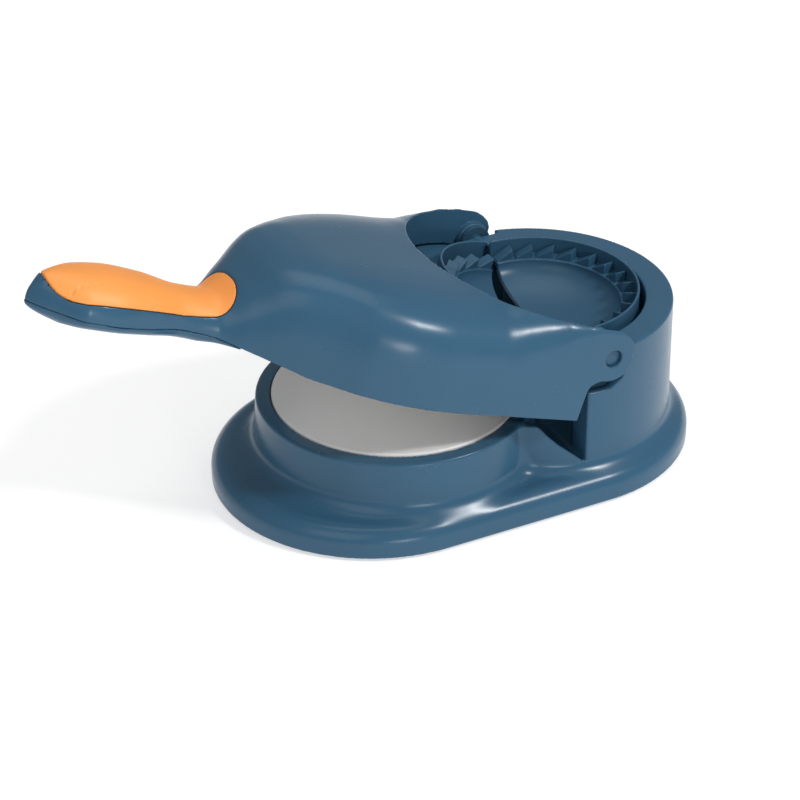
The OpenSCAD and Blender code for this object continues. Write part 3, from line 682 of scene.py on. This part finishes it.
pin_profile = [(0, 44.9)] + arc(1.2, 45.2, 0.3, -90, 0) + [(1.5, 51.1), (1.8, 51.15)] + arc(PIN - 0.35, 51.5, 0.35, -90, 0)
pin_profile += arc(PIN - 0.4, 55.6, 0.4, 0, 90) + [(2.0, 56.0), (1.0, 56.0), (0, 56.0)]
for name, node, sign in (("pin_near", "hinge_pin_near", -1), ("pin_far", "hinge_pin_far", 1)):
    v, f = lathe(pin_profile, 0, 0, 64)
    v = np.array(v, float)
    v = np.stack([v[:, 0] + HX, sign * v[:, 2], -sign * v[:, 1] + HZ], 1)
    o = new_object(name, v, f, blue_in)
    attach(o, "base")
    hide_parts(node)

plate_profile = [(0, 36.2)] + [(r, 36.2) for r in (20, 40)] + arc(47.2, 37.0, 0.8, -90, 0, 6) + arc(47.4, 38.6, 0.6, 0, 90, 6) + [(40, 39.2), (20, 39.2), (0, 39.2)]
v, f = lathe(plate_profile, PX, 0, 240)
o = new_object("upper_plate", v, f, white, lifted=True)
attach(o, "lid")
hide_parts("upper_press_plate")

# ------------------------------------------------------------------ stage
def floor_material():
    m, nt, b = nodes_of("floor")
    tc = nt.nodes.new("ShaderNodeTexCoord").outputs["Object"]
    mix = nt.nodes.new("ShaderNodeMix")
    mix.data_type = "RGBA"
    nt.links.new(noise(nt, tc, 3, 3), mix.inputs["Factor"])
    mix.inputs["A"].default_value = (0.60, 0.60, 0.603, 1)
    mix.inputs["B"].default_value = (0.62, 0.62, 0.62, 1)
    nt.links.new(mix.outputs["Result"], b.inputs["Base Color"])
    b.inputs["Roughness"].default_value = 0.9
    b.inputs["Specular IOR Level"].default_value = 0.1
    b.inputs["Emission Color"].default_value = (1, 1, 1, 1)
    b.inputs["Emission Strength"].default_value = 0.55
    return m


me = bpy.data.meshes.new("floor")
me.from_pydata([(-6, -6, -0.0002), (6, -6, -0.0002), (6, 6, -0.0002), (-6, 6, -0.0002)], [], [(0, 1, 2, 3)])
me.materials.append(floor_material())
floor = bpy.data.objects.new("floor", me)
bpy.context.scene.collection.objects.link(floor)


def area(name, az, el, dist, size, power, aim=(0, 0, 0.04), colour=(1, 1, 1), size_y=None):
    d = Vector((math.cos(math.radians(el)) * math.cos(math.radians(az)), math.cos(math.radians(el)) * math.sin(math.radians(az)), math.sin(math.radians(el))))
    l = bpy.data.lights.new(name, "AREA")
    l.shape = "RECTANGLE" if size_y else "SQUARE"
    l.size = size
    if size_y:
        l.size_y = size_y
    l.energy = power
    l.color = colour
    o = bpy.data.objects.new(name, l)
    o.location = Vector(aim) + d * dist
    o.rotation_euler = (-d).to_track_quat("-Z", "Y").to_euler()
    bpy.context.scene.collection.objects.link(o)
    return o


area("key", -52, 47, 1.6, 0.20, 12)
area("low", -97, 9, 1.6, 0.40, 4, size_y=0.12)
area("left", -145, 42, 2.0, 1.2, 6)
area("top", 60, 80, 1.8, 1.4, 10)
bpy.context.scene.view_settings.view_transform = "Standard"
bpy.context.scene.view_settings.look = "None"

w = bpy.data.worlds.new("studio")
w.use_nodes = True
bpy.context.scene.world = w
bg = w.node_tree.nodes["Background"]
bg.inputs["Color"].default_value = (1, 1, 1, 1)
bg.inputs["Strength"].default_value = 0.29

cam = bpy.data.cameras.new("camera")
cam.sensor_width = 36.0
cam.lens = 112.84
cam.clip_start, cam.clip_end = 0.05, 20
co = bpy.data.objects.new("camera", cam)
a, e = math.radians(-27.513), math.radians(31.115)
back = Vector((math.sin(a) * math.cos(e), -math.cos(a) * math.cos(e), math.sin(e)))
right = Vector((math.cos(a), math.sin(a), 0))
up = back.cross(right)
co.matrix_world = Matrix(((right.x, up.x, back.x, -0.414965), (right.y, up.y, back.y, -0.751239), (right.z, up.z, back.z, 0.540426), (0, 0, 0, 1)))
bpy.context.scene.collection.objects.link(co)
bpy.context.scene.camera = co
